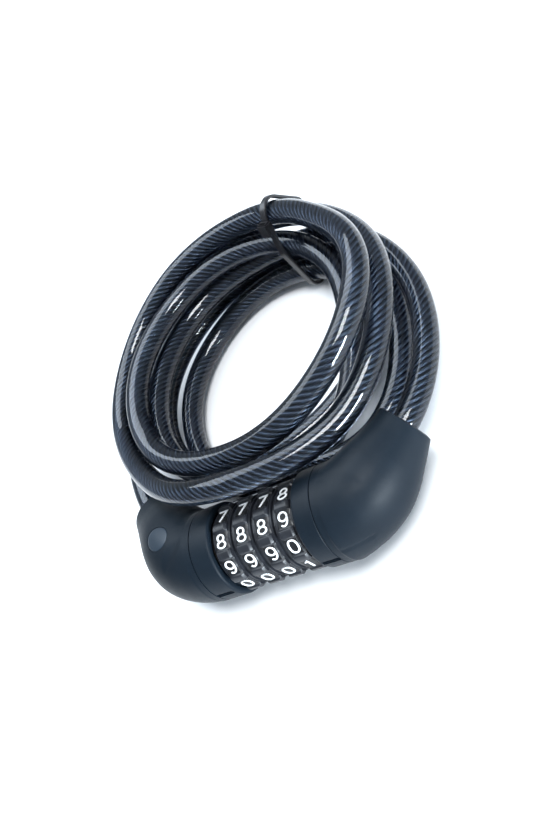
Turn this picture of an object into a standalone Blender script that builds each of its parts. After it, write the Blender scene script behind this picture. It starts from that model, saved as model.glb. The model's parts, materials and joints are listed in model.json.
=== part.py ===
"""Four-dial combination cable lock, with its cable wound up and tied.

The lock lies along X: body housing at -X, four dials, plug housing at +X. The cable
leaves both housings towards +Y and lies in one bundle of six windings. Lengths below
are in millimetres; MM turns them into metres.
"""
import math

import bmesh
import bpy
from mathutils import Matrix, Vector
from mathutils.geometry import convex_hull_2d

MM = 0.001

# Driving dimensions, mm
SHELL_R = 14.4            # outer radius of the collars
SIDES = 24                # facets round a housing, one of them flat on the table
WALL = 2.0                # wall of the housing covers
DIAL_COUNT = 4
DIAL_PITCH = 7.6
DIAL_WIDTH = 6.6
DIAL_R = 13.7             # over the finger ribs
PANEL_R = 13.1            # over the number panels
DIGITS = 10
DIAL_PHASE = 13.7         # degrees; where the panels stand at rest
CABLE_D = 8.0
ROPE_R = 2.8              # steel rope inside the sheath
BARREL_R = 7.0
BARREL_BORE_R = 4.6
BOLT_R = 4.2
LUG_TOP_R = 8.8
LUG_LENGTH = 1.4
LUG_WIDTH = 2.0
PIN_R = 1.25
BADGE_LENGTH = 9.8
BADGE_WIDTH = 7.8
BADGE_THICKNESS = 0.7
GAP = 0.3                 # between pieces that touch
HOLE_ROOM = 0.15          # how much wider than its pin a pin's hole is, in radius
SHEATH_BORE_R = CABLE_D / 2 + GAP

# The collars next to the dials
COLLAR_WEB = 1.4
COLLAR_BORE_R = 10.2
SPIGOT_R = 11.6
SPIGOT_LENGTH = 1.2
FACE_EDGE = 0.9           # rounding of the collar's edge at the dials

# The cast inserts; depths are measured inwards from a mouth
FLANGE_R = 9.8
NECK_R = 6.9
NECK_LENGTH = 16.5
SOCKET_R = 6.7
SOCKET_START = 11.5
SOCKET_END = 24.0
SOCKET_BORE_R = 5.5
FERRULE_R = 5.2
FERRULE_START = 9.5
FERRULE_STEP = 12.6
FERRULE_END = 21.5
GROMMET_R = 5.8
GROMMET_START = 0.6
GROMMET_END = 8.2
ROPE_START = 12.5
ROPE_END = 21.9
PIN_LENGTH = 18.6
PIN_PLACE = 4.6           # behind the collar's face

# The barrel, its slots and what it carries
BARREL_TIP = 15.2
BARREL_TAIL = 7.0         # beyond the body collar's face
GROOVE_R = 6.4
GROOVE_START = 14.35
RING_X = 14.75
RING_R = 9.5
RING_OPENING = 4.0
SPRING_X = -15.6
SPRING_R = (9.5, 11.5)
SPRING_WAVE = 0.3
SPRING_STEPS = 48
SLOT_X = -0.6
LUG_SLOT_LENGTH = 32.6
LEAF_SLOT_LENGTH = 28.6
LEAF_LENGTH = 28.0
LEAF_WIDTH = 2.2
LEAF_THICKNESS = 0.4
LEAF_DEPTH = 5.3
LEAF_STEPS = 56
BUMP_HEIGHT = 1.2
BUMP_REACH = 1.8
CODE_RING_R = 9.9
CODE_RING_WIDTH = 5.5
SPACER_R = 11.8
WASHER_THICKNESS = 0.5
GATE_HEIGHT = 9.3         # from the axis to the bottom of a gate
BOLT_TIP = -16.6
BOLT_ROOT_R = 5.9

# The number rings
SHOULDER_R = 12.3
RIB_WIDTH = DIAL_WIDTH - 1.4
PANEL_HALF = 11.0         # degrees
RIB_START = 13.0          # degrees from the middle of a panel
DIAL_BORE_R = 10.2

# Where the middle of the dial stack stands
LOCK_X = 2.45
LOCK_Y = -6.285
LOCK_Z = SHELL_R * math.cos(math.pi / SIDES)

# Where the housings start, distance from the middle of the dials
BODY_FACE = 16.5
PLUG_FACE = 15.5
COLLAR_LENGTH = 7.8

# Cover outlines seen from above: inner edge (u, v), outer edge (u, v), half height.
# u runs along the lock away from the dials, v towards the cable.
BODY_OUTLINE = [
    (24.6, 14.4, 24.6, -14.4, 14.35),
    (25.6, 14.4, 26.0, -14.4, 14.35),
    (26.6, 15.0, 31.2, -13.6, 14.3),
    (27.6, 15.8, 37.4, -11.6, 14.3),
    (29.6, 17.0, 43.2, -8.2, 14.0),
    (32.2, 18.6, 47.6, -3.6, 13.4),
    (35.2, 20.4, 50.4, 1.2, 12.4),
    (38.4, 22.4, 52.6, 5.9, 11.0),
    (41.8, 24.5, 54.6, 10.4, 9.5),
    (45.3, 27.0, 56.7, 15.1, 8.2),
]
PLUG_OUTLINE = [
    (23.6, 14.4, 23.6, -14.4, 14.35),
    (24.6, 14.4, 24.8, -14.4, 14.35),
    (25.6, 14.6, 29.6, -12.7, 14.3),
    (26.6, 15.0, 34.4, -10.4, 14.2),
    (28.6, 16.0, 39.2, -7.1, 13.8),
    (31.0, 17.4, 43.0, -3.2, 13.0),
    (33.6, 19.0, 45.8, 0.8, 11.8),
    (36.1, 20.9, 48.0, 4.9, 10.5),
    (38.4, 22.7, 50.0, 8.8, 9.2),
    (40.7, 24.6, 51.8, 12.6, 8.2),
]

# The wound cable: its radius and height at every eighth of a turn, from the body's
# mouth to the plug's, about the middle of the bundle. The ends are set by the mouths.
BUNDLE_X = 0.2
BUNDLE_Y = 62.5
START_ANGLE = 218.8
EIGHTH = 45.0
WINDINGS = [
    (63.0, 15.0), (57.0, 18.5), (53.0, 22.5), (50.5, 22.7),
    (52.0, 27.0), (54.0, 26.5), (54.5, 35.5), (55.0, 29.5),
    (59.5, 26.0), (55.5, 28.5), (48.0, 30.7), (45.0, 35.0),
    (51.0, 38.0), (46.0, 34.5), (42.5, 30.5), (46.5, 30.5),
    (46.5, 30.5), (46.5, 26.0), (43.0, 22.6), (38.5, 19.5),
    (35.0, 16.5), (38.2, 9.6), (42.5, 4.6), (44.5, 4.4),
    (43.5, 6.2), (42.0, 5.0), (40.0, 6.0), (39.0, 6.1),
    (33.5, 4.5), (29.8, 5.5), (35.0, 10.8), (46.5, 13.0),
    (51.0, 12.2), (50.5, 9.2), (49.0, 6.0), (47.5, 6.1),
    (46.5, 5.6), (50.0, 6.0), (44.3, 17.4), (46.0, 21.7),
    (44.5, 22.0), (45.5, 17.5), (45.0, 14.3), (50.0, 14.5),
    (57.0, 11.5),
]
POINTS_PER_TURN = 14
SPLIT_INDEX = 78          # half a step after this point the cable moves with the plug
MOUTH_INSIDE = 12.0       # length of sheath inside each mouth

# The cable tie round the bundle
TIE_ANGLE = 65.0
TIE_WIDTH = 2.4
TIE_THICKNESS = 1.1
TIE_SLACK = 0.7
TIE_HEAD = (3.4, 4.4, 4.8)   # across the strap's thickness, its width, its length

BLACK_PLASTIC = ((0.020, 0.026, 0.035, 1.0), 0.55, 0.0)
DIAL_PLASTIC = ((0.010, 0.011, 0.014, 1.0), 0.40, 0.0)
PVC = ((0.012, 0.013, 0.020, 1.0), 0.18, 0.0)
RUBBER = ((0.010, 0.010, 0.012, 1.0), 0.60, 0.0)
NYLON = ((0.020, 0.020, 0.022, 1.0), 0.35, 0.0)
ZINC = ((0.50, 0.51, 0.53, 1.0), 0.40, 1.0)
STEEL = ((0.60, 0.60, 0.62, 1.0), 0.28, 1.0)
SPRING_STEEL = ((0.55, 0.54, 0.52, 1.0), 0.25, 1.0)
BRASS = ((0.70, 0.52, 0.22, 1.0), 0.30, 1.0)

ALONG_X = Matrix.Rotation(math.radians(90.0), 4, "Y")


def clear_scene():
    for obj in list(bpy.data.objects):
        bpy.data.objects.remove(obj, do_unlink=True)


def make_collection(name):
    collection = bpy.data.collections.new(name)
    bpy.context.scene.collection.children.link(collection)
    return collection


def finish(obj, look):
    colour, roughness, metallic = look
    material = bpy.data.materials.new(obj.name + "_material")
    material.use_nodes = True
    shader = material.node_tree.nodes["Principled BSDF"]
    shader.inputs["Base Color"].default_value = colour
    shader.inputs["Roughness"].default_value = roughness
    shader.inputs["Metallic"].default_value = metallic
    obj.data.materials.clear()
    obj.data.materials.append(material)
    PARTS.objects.link(obj)
    return obj


def lock_point(x, y=0.0, z=0.0):
    """A point given in mm from the middle of the dial stack, in world metres."""
    return Vector((LOCK_X + x, LOCK_Y + y, LOCK_Z + z)) * MM


def mesh_object(name, bm):
    bmesh.ops.recalc_face_normals(bm, faces=bm.faces)
    mesh = bpy.data.meshes.new(name)
    bm.to_mesh(mesh)
    bm.free()
    return bpy.data.objects.new(name, mesh)


def cutter(obj):
    obj.hide_render = True
    obj.display_type = "WIRE"
    CUTTERS.objects.link(obj)
    return obj


def boolean(obj, other, operation="DIFFERENCE"):
    modifier = obj.modifiers.new(other.name, "BOOLEAN")
    modifier.operation = operation
    modifier.solver = "EXACT"
    modifier.object = other


def box(name, size, place):
    """A box of size mm, its middle at place mm from the dial stack's middle."""
    bm = bmesh.new()
    bmesh.ops.create_cube(bm, size=1.0)
    bmesh.ops.scale(bm, vec=Vector(size) * MM, verts=bm.verts)
    obj = mesh_object(name, bm)
    obj.location = lock_point(*place)
    return obj


def cylinder(name, radius, length, matrix, sides=SIDES):
    """A cylinder along the matrix's Z axis, centred on it."""
    bm = bmesh.new()
    bmesh.ops.create_cone(bm, cap_ends=True, segments=sides, radius1=radius * MM,
                          radius2=radius * MM, depth=length * MM)
    obj = mesh_object(name, bm)
    obj.matrix_world = matrix
    return obj


def turned(name, profile, matrix, steps=SIDES, closed=True):
    """A profile of (radius, height) points in mm turned about the matrix's Z axis."""
    bm = bmesh.new()
    verts = [bm.verts.new((radius * MM, 0.0, height * MM)) for radius, height in profile]
    for first, second in zip(verts, verts[1:]):
        bm.edges.new((first, second))
    if closed:
        bm.edges.new((verts[-1], verts[0]))
    bmesh.ops.rotate(bm, verts=bm.verts, matrix=Matrix.Rotation(math.pi / steps, 3, "Z"))
    mesh = bpy.data.meshes.new(name)
    bm.to_mesh(mesh)
    bm.free()
    obj = bpy.data.objects.new(name, mesh)
    screw = obj.modifiers.new("turn", "SCREW")
    screw.axis = "Z"
    screw.angle = math.tau
    screw.steps = steps
    screw.render_steps = steps
    screw.use_merge_vertices = True
    screw.merge_threshold = 0.00001
    obj.matrix_world = matrix
    return obj


def tube_profile(outer, inner, start, end):
    return [(outer, end), (outer, start), (inner, start), (inner, end)]


def along_lock(x=0.0):
    """Z of a turned piece laid along the lock, towards +X."""
    return Matrix.Translation(lock_point(x)) @ ALONG_X


def outward(side):
    """Z of a turned piece laid along the lock, away from the dials on one side."""
    turn = ALONG_X if side > 0 else ALONG_X.inverted()
    return Matrix.Translation(lock_point(0.0)) @ turn


def smooth(values, position):
    """A smooth curve through evenly spaced values, read at a fractional index."""
    last = len(values) - 1
    index = min(int(position), last - 1)
    part = position - index
    before = values[max(index - 1, 0)]
    start = values[index]
    end = values[index + 1]
    after = values[min(index + 2, last)]
    slope_in = (end - before) * 0.5
    slope_out = (after - start) * 0.5
    rise = end - start
    cubic = slope_in + slope_out - 2.0 * rise
    square = 3.0 * rise - 2.0 * slope_in - slope_out
    return start + part * (slope_in + part * (square + part * cubic))


def outline_at(outline, position):
    columns = zip(*outline)
    return [smooth(column, position) for column in columns]


def cover(name, outline, side):
    """A bent, tapering shell, open at the collar and at the mouth."""
    bm = bmesh.new()
    rings = []
    count = 2 * (len(outline) - 1) + 1
    for step in range(count):
        inner_u, inner_v, outer_u, outer_v, half = outline_at(outline, step * 0.5)
        middle = Vector((inner_u + outer_u, inner_v + outer_v)) * 0.5
        reach = Vector((inner_u - outer_u, inner_v - outer_v)) * 0.5
        ring = []
        for corner in range(SIDES):
            angle = (corner + 0.5) * math.tau / SIDES
            plan = middle + reach * math.sin(angle)
            ring.append(bm.verts.new(lock_point(side * plan.x, plan.y, half * math.cos(angle))))
        rings.append(ring)
    for ring, following in zip(rings, rings[1:]):
        for corner in range(SIDES):
            after = (corner + 1) % SIDES
            bm.faces.new((ring[corner], ring[after], following[after], following[corner]))
    obj = mesh_object(name, bm)
    shell = obj.modifiers.new("wall", "SOLIDIFY")
    shell.thickness = WALL * MM
    shell.offset = -1.0
    shell.use_even_offset = True
    return obj


def mouth(outline, side):
    """Matrix of a cover's mouth: Z points out of it along the cable."""
    inner_u, inner_v, outer_u, outer_v, _ = outline[-1]
    across = Vector((inner_u - outer_u, inner_v - outer_v)).normalized()
    middle = lock_point(side * (inner_u + outer_u) / 2, (inner_v + outer_v) / 2)
    out = Vector((side * across.y, -across.x, 0.0))
    return Matrix.Translation(middle) @ out.to_track_quat("Z", "Y").to_matrix().to_4x4()


def make_collar(name, side, face, bore):
    """A ring with a web towards the dials and a spigot into the cover."""
    end = face + COLLAR_LENGTH
    profile = [
        (SPIGOT_R, end + SPIGOT_LENGTH), (SPIGOT_R, end), (SHELL_R, end),
        (SHELL_R, face + FACE_EDGE), (SHELL_R - FACE_EDGE * 0.33, face + FACE_EDGE * 0.39),
        (SHELL_R - FACE_EDGE, face), (bore, face), (bore, face + COLLAR_WEB),
        (COLLAR_BORE_R, face + COLLAR_WEB), (COLLAR_BORE_R, end + SPIGOT_LENGTH),
    ]
    return finish(turned(name, profile, outward(side)), BLACK_PLASTIC)


def make_insert(name, side, outline, face, bore):
    """The cast block inside a housing: flange, neck, and a socket for the ferrule."""
    start = face + COLLAR_WEB + GAP
    flange_end = face + COLLAR_LENGTH - 0.6
    neck_end = face + NECK_LENGTH
    bore_end = flange_end + 1.0
    profile = [
        (NECK_R, neck_end), (NECK_R, flange_end), (FLANGE_R, flange_end), (FLANGE_R, start),
        (bore, start), (bore, bore_end), (0.0, bore_end),
    ]
    obj = turned(name, [(0.0, neck_end)] + profile, outward(side), closed=False)
    opening = mouth(outline, side)
    length = SOCKET_END - SOCKET_START
    middle = opening @ shift(-(SOCKET_START + SOCKET_END) / 2)
    boolean(obj, cutter(cylinder(name + "_socket", SOCKET_R, length, middle)), "UNION")
    floor = SOCKET_END - 1.5
    start_outside = SOCKET_START - 5.0
    middle = opening @ shift(-(start_outside + floor) / 2)
    boolean(obj, cutter(cylinder(name + "_bore", SOCKET_BORE_R, floor - start_outside, middle)))
    boolean(obj, pin_hole(name + "_pin_hole", side, face))
    return finish(obj, ZINC)


def shift(distance):
    return Matrix.Translation((0.0, 0.0, distance * MM))


def pin_matrix(side, face):
    return Matrix.Translation(lock_point(side * (face + PIN_PLACE)))


def pin_hole(name, side, face):
    return cutter(cylinder(name, PIN_R + HOLE_ROOM, 2 * SHELL_R, pin_matrix(side, face)))


def make_pin(name, side, face):
    return finish(cylinder(name, PIN_R, PIN_LENGTH, pin_matrix(side, face), 16), STEEL)


def make_ferrule(name, side, outline):
    rope_bore = ROPE_R + GAP
    profile = [
        (FERRULE_R, -FERRULE_START), (FERRULE_R, -FERRULE_END), (rope_bore, -FERRULE_END),
        (rope_bore, -FERRULE_STEP), (SHEATH_BORE_R, -FERRULE_STEP),
        (SHEATH_BORE_R, -FERRULE_START),
    ]
    return finish(turned(name, profile, mouth(outline, side)), ZINC)


def make_grommet(name, side, outline):
    profile = tube_profile(GROMMET_R, SHEATH_BORE_R, -GROMMET_END, -GROMMET_START)
    return finish(turned(name, profile, mouth(outline, side)), RUBBER)


def make_rope_end(name, side, outline):
    matrix = mouth(outline, side) @ shift(-(ROPE_START + ROPE_END) / 2)
    return finish(cylinder(name, ROPE_R, ROPE_END - ROPE_START, matrix, 16), STEEL)


def make_barrel():
    """The fixed tube that the dials turn on, slotted for the lugs and the leaf."""
    tail = -(BODY_FACE + BARREL_TAIL)
    profile = [
        (GROOVE_R, BARREL_TIP), (GROOVE_R, GROOVE_START), (BARREL_R, GROOVE_START),
        (BARREL_R, tail), (BARREL_BORE_R, tail), (BARREL_BORE_R, BARREL_TIP),
    ]
    obj = turned("barrel", profile, along_lock(), 32)
    slot_height = 8.0
    lug_size = (LUG_SLOT_LENGTH, LUG_WIDTH + 2 * GAP, slot_height)
    boolean(obj, cutter(box("lug_slot", lug_size, (SLOT_X, 0.0, 6.0))))
    leaf_size = (LEAF_SLOT_LENGTH, LEAF_WIDTH + 0.4, slot_height)
    boolean(obj, cutter(box("leaf_slot", leaf_size, (SLOT_X, 0.0, -6.0))))
    boolean(obj, pin_hole("barrel_pin_hole", -1, BODY_FACE))
    return finish(obj, STEEL)


def make_detent_leaf():
    """A strip in the barrel's lower slot with a bump under each code ring."""
    bm = bmesh.new()
    rows = []
    for step in range(LEAF_STEPS + 1):
        x = LEAF_LENGTH * (step / LEAF_STEPS - 0.5)
        near = min(abs(x - SLOT_X - dial_x(index)) for index in range(DIAL_COUNT))
        share = min(near / BUMP_REACH, 1.0)
        bump = BUMP_HEIGHT * max(0.0, math.cos(share * math.pi / 2))
        row = [bm.verts.new((x * MM, side * LEAF_WIDTH / 2 * MM, -bump * MM)) for side in (-1, 1)]
        rows.append(row)
    for row, following in zip(rows, rows[1:]):
        bm.faces.new((row[0], row[1], following[1], following[0]))
    obj = mesh_object("detent_leaf", bm)
    obj.location = lock_point(SLOT_X, 0.0, -LEAF_DEPTH)
    thick = obj.modifiers.new("thickness", "SOLIDIFY")
    thick.thickness = LEAF_THICKNESS * MM
    thick.offset = 0.0
    return finish(obj, SPRING_STEEL)


def make_stack_spring():
    """A wave washer that presses the dials together."""
    bm = bmesh.new()
    rings = []
    for radius in SPRING_R:
        ring = []
        for step in range(SPRING_STEPS):
            angle = math.tau * step / SPRING_STEPS
            height = SPRING_WAVE * math.cos(3 * angle)
            x, y = radius * math.cos(angle), radius * math.sin(angle)
            ring.append(bm.verts.new((x * MM, y * MM, height * MM)))
        rings.append(ring)
    for step in range(SPRING_STEPS):
        after = (step + 1) % SPRING_STEPS
        bm.faces.new((rings[0][step], rings[1][step], rings[1][after], rings[0][after]))
    obj = mesh_object("stack_spring", bm)
    obj.matrix_world = along_lock(SPRING_X)
    thick = obj.modifiers.new("thickness", "SOLIDIFY")
    thick.thickness = 0.3 * MM
    thick.offset = 0.0
    return finish(obj, SPRING_STEEL)


def make_retaining_ring():
    """An open ring in the barrel's groove that keeps the dials on."""
    half = WASHER_THICKNESS / 2
    profile = tube_profile(RING_R, GROOVE_R + GAP, -half, half)
    obj = turned("retaining_ring", profile, along_lock(RING_X), 32)
    opening = cutter(box("ring_opening", (3.0, RING_OPENING, 12.0), (RING_X, 0.0, 8.0)))
    boolean(obj, opening)
    return finish(obj, SPRING_STEEL)


def make_spacer(index):
    """A slippery washer between two dials, open at the top for the lugs."""
    x = (dial_x(index) + dial_x(index + 1)) / 2
    name = "spacer_%d" % (index + 1)
    half = WASHER_THICKNESS / 2
    obj = turned(name, tube_profile(SPACER_R, BARREL_R + 0.25, -half, half), along_lock(x), 32)
    size = (2.0, LUG_WIDTH + 1.4, GATE_HEIGHT)
    notch = cutter(box(name + "_notch", size, (x, 0.0, GATE_HEIGHT / 2)))
    boolean(obj, notch)
    return finish(obj, DIAL_PLASTIC)


def dial_x(index):
    return (index - (DIAL_COUNT - 1) / 2) * DIAL_PITCH


def ribbed_disc(name, width, matrix):
    """The outline of a dial: ten flat number panels between raised ribs."""
    curve = bpy.data.curves.new(name, "CURVE")
    curve.dimensions = "2D"
    curve.fill_mode = "BOTH"
    curve.extrude = width / 2 * MM
    points = []
    pitch = 360.0 / DIGITS
    corner_r = PANEL_R / math.cos(math.radians(PANEL_HALF)) - 0.16
    corners = ((-PANEL_HALF, corner_r), (PANEL_HALF, corner_r), (RIB_START, DIAL_R),
               (pitch - RIB_START, DIAL_R))
    for digit in range(DIGITS):
        for offset, radius in corners:
            angle = math.radians(DIAL_PHASE + pitch * digit + offset)
            points.append((radius * math.cos(angle), radius * math.sin(angle)))
    spline = curve.splines.new("POLY")
    spline.points.add(len(points) - 1)
    for point, (x, y) in zip(spline.points, points):
        point.co = (x * MM, y * MM, 0.0, 1.0)
    spline.use_cyclic_u = True
    source = bpy.data.objects.new(name + "_outline", curve)
    CUTTERS.objects.link(source)
    bpy.context.view_layer.update()
    graph = bpy.context.evaluated_depsgraph_get()
    mesh = bpy.data.meshes.new_from_object(source.evaluated_get(graph))
    bpy.data.objects.remove(source, do_unlink=True)
    bm = bmesh.new()
    bm.from_mesh(mesh)
    bmesh.ops.remove_doubles(bm, verts=bm.verts, dist=0.000001)
    obj = mesh_object(name, bm)
    obj.matrix_world = matrix
    return obj


def make_dial(index):
    """A ribbed number ring with narrow shoulders, keyed to its code ring."""
    name = "dial_%d" % (index + 1)
    matrix = along_lock(dial_x(index))
    obj = ribbed_disc(name, RIB_WIDTH, matrix)
    shoulder = cutter(cylinder(name + "_shoulder", SHOULDER_R, DIAL_WIDTH, matrix, 40))
    boolean(obj, shoulder, "UNION")
    bore = cutter(cylinder(name + "_bore", DIAL_BORE_R, 2 * DIAL_WIDTH, matrix, 40))
    boolean(obj, bore)
    key_way = cutter(box(name + "_key_way", (9.0, 2.6, 5.0), (dial_x(index), 0.0, -8.8)))
    boolean(obj, key_way)
    return finish(obj, DIAL_PLASTIC)


def make_code_ring(index):
    """The brass ring inside a dial; its gate lets the lug pass at one number only."""
    name = "code_ring_%d" % (index + 1)
    x = dial_x(index)
    half = CODE_RING_WIDTH / 2
    obj = turned(name, tube_profile(CODE_RING_R, BARREL_R + GAP, -half, half), along_lock(x), 32)
    key = cutter(box(name + "_key", (5.0, 2.0, 2.2), (x, 0.0, -9.8)))
    boolean(obj, key, "UNION")
    size = (9.0, LUG_WIDTH + 1.0, GATE_HEIGHT)
    gate = cutter(box(name + "_gate", size, (x, 0.0, GATE_HEIGHT / 2)))
    boolean(obj, gate)
    return finish(obj, BRASS)


def make_latch_bolt():
    """The plug's bolt: a rod with four lugs that sit behind the code rings."""
    root_start = PLUG_FACE + COLLAR_WEB + GAP
    root_end = PLUG_FACE + COLLAR_LENGTH
    chamfer = 0.7
    profile = [
        (0.0, root_end), (BOLT_ROOT_R, root_end), (BOLT_ROOT_R, root_start),
        (BOLT_R, root_start), (BOLT_R, BOLT_TIP + chamfer), (BOLT_R - chamfer, BOLT_TIP),
        (0.0, BOLT_TIP),
    ]
    obj = turned("latch_bolt", profile, along_lock(), closed=False)
    height = LUG_TOP_R - 2.0
    for index in range(DIAL_COUNT):
        x = dial_x(index) - DIAL_PITCH / 2
        size = (LUG_LENGTH, LUG_WIDTH, height)
        lug = cutter(box("lug_%d" % (index + 1), size, (x, 0.0, LUG_TOP_R - height / 2)))
        boolean(obj, lug, "UNION")
    boolean(obj, pin_hole("bolt_pin_hole", 1, PLUG_FACE))
    return finish(obj, STEEL)


def badge_matrix():
    """The floor of the badge's pocket on the body cover: X along the oval, Z out."""
    out = Vector((-0.10, 0.06, 0.99)).normalized()
    along = Vector((0.93, -0.36, 0.0)).cross(out).normalized().cross(out) * -1.0
    turn = Matrix((along, out.cross(along), out)).transposed().to_4x4()
    return Matrix.Translation(lock_point(-36.7, 4.6, 13.0)) @ turn


def oval(name, length, width, depth, matrix):
    obj = cylinder(name, 1.0, depth, matrix, 40)
    for vert in obj.data.vertices:
        vert.co.x *= length / 2
        vert.co.y *= width / 2
    return obj


def make_body_cover():
    obj = cover("body_cover", BODY_OUTLINE, -1)
    matrix = badge_matrix() @ shift(1.5)
    pocket = oval("badge_pocket", BADGE_LENGTH + 2 * GAP, BADGE_WIDTH + 2 * GAP, 3.0, matrix)
    boolean(obj, cutter(pocket))
    return finish(obj, BLACK_PLASTIC)


def make_badge():
    matrix = badge_matrix() @ shift(GAP + BADGE_THICKNESS / 2)
    obj = oval("body_badge", BADGE_LENGTH, BADGE_WIDTH, BADGE_THICKNESS, matrix)
    edge = obj.modifiers.new("edge", "BEVEL")
    edge.width = 0.25 * MM
    edge.segments = 2
    return finish(obj, BLACK_PLASTIC)


def bundle_point(angle, radius, height):
    """A point of the bundle: angle in degrees about its middle, lengths in mm."""
    turn = math.radians(angle)
    place = Vector((radius * math.cos(turn), radius * math.sin(turn), height)) * MM
    return place + lock_point(BUNDLE_X, BUNDLE_Y, -LOCK_Z)


def polar_of(point):
    """Radius and height in mm, and angle in degrees, of a point about the bundle."""
    offset = (point - lock_point(BUNDLE_X, BUNDLE_Y, -LOCK_Z)) / MM
    return math.hypot(offset.x, offset.y), offset.z, math.degrees(math.atan2(offset.y, offset.x))


def cable_route():
    """Points of the whole cable, from inside the body's mouth to inside the plug's."""
    body_mouth = mouth(BODY_OUTLINE, -1)
    plug_mouth = mouth(PLUG_OUTLINE, 1)
    first = polar_of(body_mouth.translation)
    last = polar_of(plug_mouth.translation)
    stations = [first[:2]] + WINDINGS + [last[:2]]
    radii = [station[0] for station in stations]
    heights = [station[1] for station in stations]
    end_angle = START_ANGLE - last[2] + 360.0 * 5
    step = 360.0 / POINTS_PER_TURN
    points = [body_mouth @ Vector((0.0, 0.0, -MOUTH_INSIDE * MM)), body_mouth.translation]
    for index in range(1, int(end_angle / step)):
        travelled = index * step
        position = station_at(travelled, end_angle, len(stations) - 1)
        radius = smooth(radii, position)
        points.append(bundle_point(START_ANGLE - travelled, radius, smooth(heights, position)))
    points.append(plug_mouth.translation)
    points.append(plug_mouth @ Vector((0.0, 0.0, -MOUTH_INSIDE * MM)))
    return points


def station_at(travelled, end_angle, last):
    """Fractional station index; the last stretch is shorter than the others."""
    position = travelled / EIGHTH
    if position <= last - 1:
        return position
    start = (last - 1) * EIGHTH
    return last - 1 + (travelled - start) / (end_angle - start)


def make_cable(name, points):
    curve = bpy.data.curves.new(name, "CURVE")
    curve.dimensions = "3D"
    curve.bevel_depth = CABLE_D / 2 * MM
    curve.bevel_resolution = 3
    curve.use_fill_caps = True
    spline = curve.splines.new("POLY")
    spline.points.add(len(points) - 1)
    for point, place in zip(spline.points, points):
        point.co = (*place, 1.0)
    return finish(bpy.data.objects.new(name, curve), PVC)


def make_cables():
    """The cable is cut once, so that the end at the plug can move with it."""
    route = cable_route()
    before, after = route[SPLIT_INDEX], route[SPLIT_INDEX + 1]
    middle = (before + after) / 2
    half_gap = (after - before).normalized() * GAP / 2 * MM
    make_cable("cable", route[:SPLIT_INDEX + 1] + [middle - half_gap])
    make_cable("cable_plug_end", [middle + half_gap] + route[SPLIT_INDEX + 1:])


def tie_strands():
    """Radius and height of each strand where the tie goes round them."""
    route = cable_route()
    strands = []
    for start, end in zip(route[:SPLIT_INDEX], route[1:SPLIT_INDEX + 1]):
        radius_a, height_a, angle_a = polar_of(start)
        radius_b, height_b, angle_b = polar_of(end)
        if angle_b <= TIE_ANGLE < angle_a:
            part = (angle_a - TIE_ANGLE) / (angle_a - angle_b)
            strands.append((radius_a + part * (radius_b - radius_a),
                            height_a + part * (height_b - height_a)))
    return strands


def make_tie():
    """A strap drawn round the six strands, with its head at the upper inside."""
    around = []
    reach = CABLE_D / 2 + TIE_SLACK
    for radius, height in tie_strands():
        for step in range(16):
            angle = math.tau * step / 16
            around.append(Vector((radius + reach * math.cos(angle), height + reach * math.sin(angle))))
    outline = [around[index] for index in convex_hull_2d(around)]
    bm = bmesh.new()
    matrix = tie_matrix()
    rows = [[bm.verts.new(matrix @ Vector((point.x, side * TIE_WIDTH / 2, point.y)))
             for point in outline] for side in (-1, 1)]
    count = len(outline)
    for index in range(count):
        after = (index + 1) % count
        bm.faces.new((rows[0][index], rows[0][after], rows[1][after], rows[1][index]))
    obj = mesh_object("cable_tie", bm)
    band = obj.modifiers.new("thickness", "SOLIDIFY")
    band.thickness = TIE_THICKNESS * MM
    band.offset = 1.0
    band.use_even_offset = True
    head = box("tie_head", TIE_HEAD, (0.0, 0.0, 0.0))
    head.matrix_world = matrix @ head_matrix(outline)
    boolean(obj, cutter(head), "UNION")
    return finish(obj, NYLON)


def head_matrix(outline):
    """Where the head sits on the strap's outline: X points out of it, Z along it."""
    def upper_inside(run):
        start, end = run
        return (end - start).dot(Vector((-0.87, -0.5)))
    start, end = max(zip(outline, outline[1:] + outline[:1]), key=upper_inside)
    along = (end - start).normalized()
    middle = start.lerp(end, 0.65)
    out = Vector((along.y, 0.0, -along.x))
    along = Vector((along.x, 0.0, along.y))
    turn = Matrix((out, along.cross(out), along)).transposed().to_4x4()
    lift = TIE_HEAD[0] / 2 + TIE_THICKNESS / 3
    scale = Matrix.Scale(1 / MM, 4)
    return Matrix.Translation(Vector((middle.x, 0.0, middle.y)) + out * lift) @ turn @ scale


def tie_matrix():
    """Takes (radius, sideways, height) in mm at the tie to world metres."""
    turn = Matrix.Rotation(math.radians(TIE_ANGLE), 4, "Z")
    place = Matrix.Translation(lock_point(BUNDLE_X, BUNDLE_Y, -LOCK_Z))
    return place @ turn @ Matrix.Scale(MM, 4)


def make_housing(name, side, outline, face, web_bore, insert_bore):
    make_collar(name + "_collar", side, face, web_bore)
    make_insert(name + "_insert", side, outline, face, insert_bore)
    make_pin(name + "_pin", side, face)
    make_ferrule(name + "_ferrule", side, outline)
    make_grommet(name + "_grommet", side, outline)
    make_rope_end(name + "_rope_end", side, outline)


clear_scene()
PARTS = make_collection("cable_lock")
CUTTERS = make_collection("cutters")
make_housing("body", -1, BODY_OUTLINE, BODY_FACE, BARREL_R + GAP, BARREL_R + 0.15)
make_housing("plug", 1, PLUG_OUTLINE, PLUG_FACE, BOLT_R + 0.6, 6.1)
make_body_cover()
make_badge()
finish(cover("plug_cover", PLUG_OUTLINE, 1), BLACK_PLASTIC)
make_barrel()
make_detent_leaf()
make_stack_spring()
make_retaining_ring()
make_latch_bolt()
for dial_index in range(DIAL_COUNT):
    make_dial(dial_index)
    make_code_ring(dial_index)
for spacer_index in range(DIAL_COUNT - 1):
    make_spacer(spacer_index)
make_cables()
make_tie()
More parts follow.
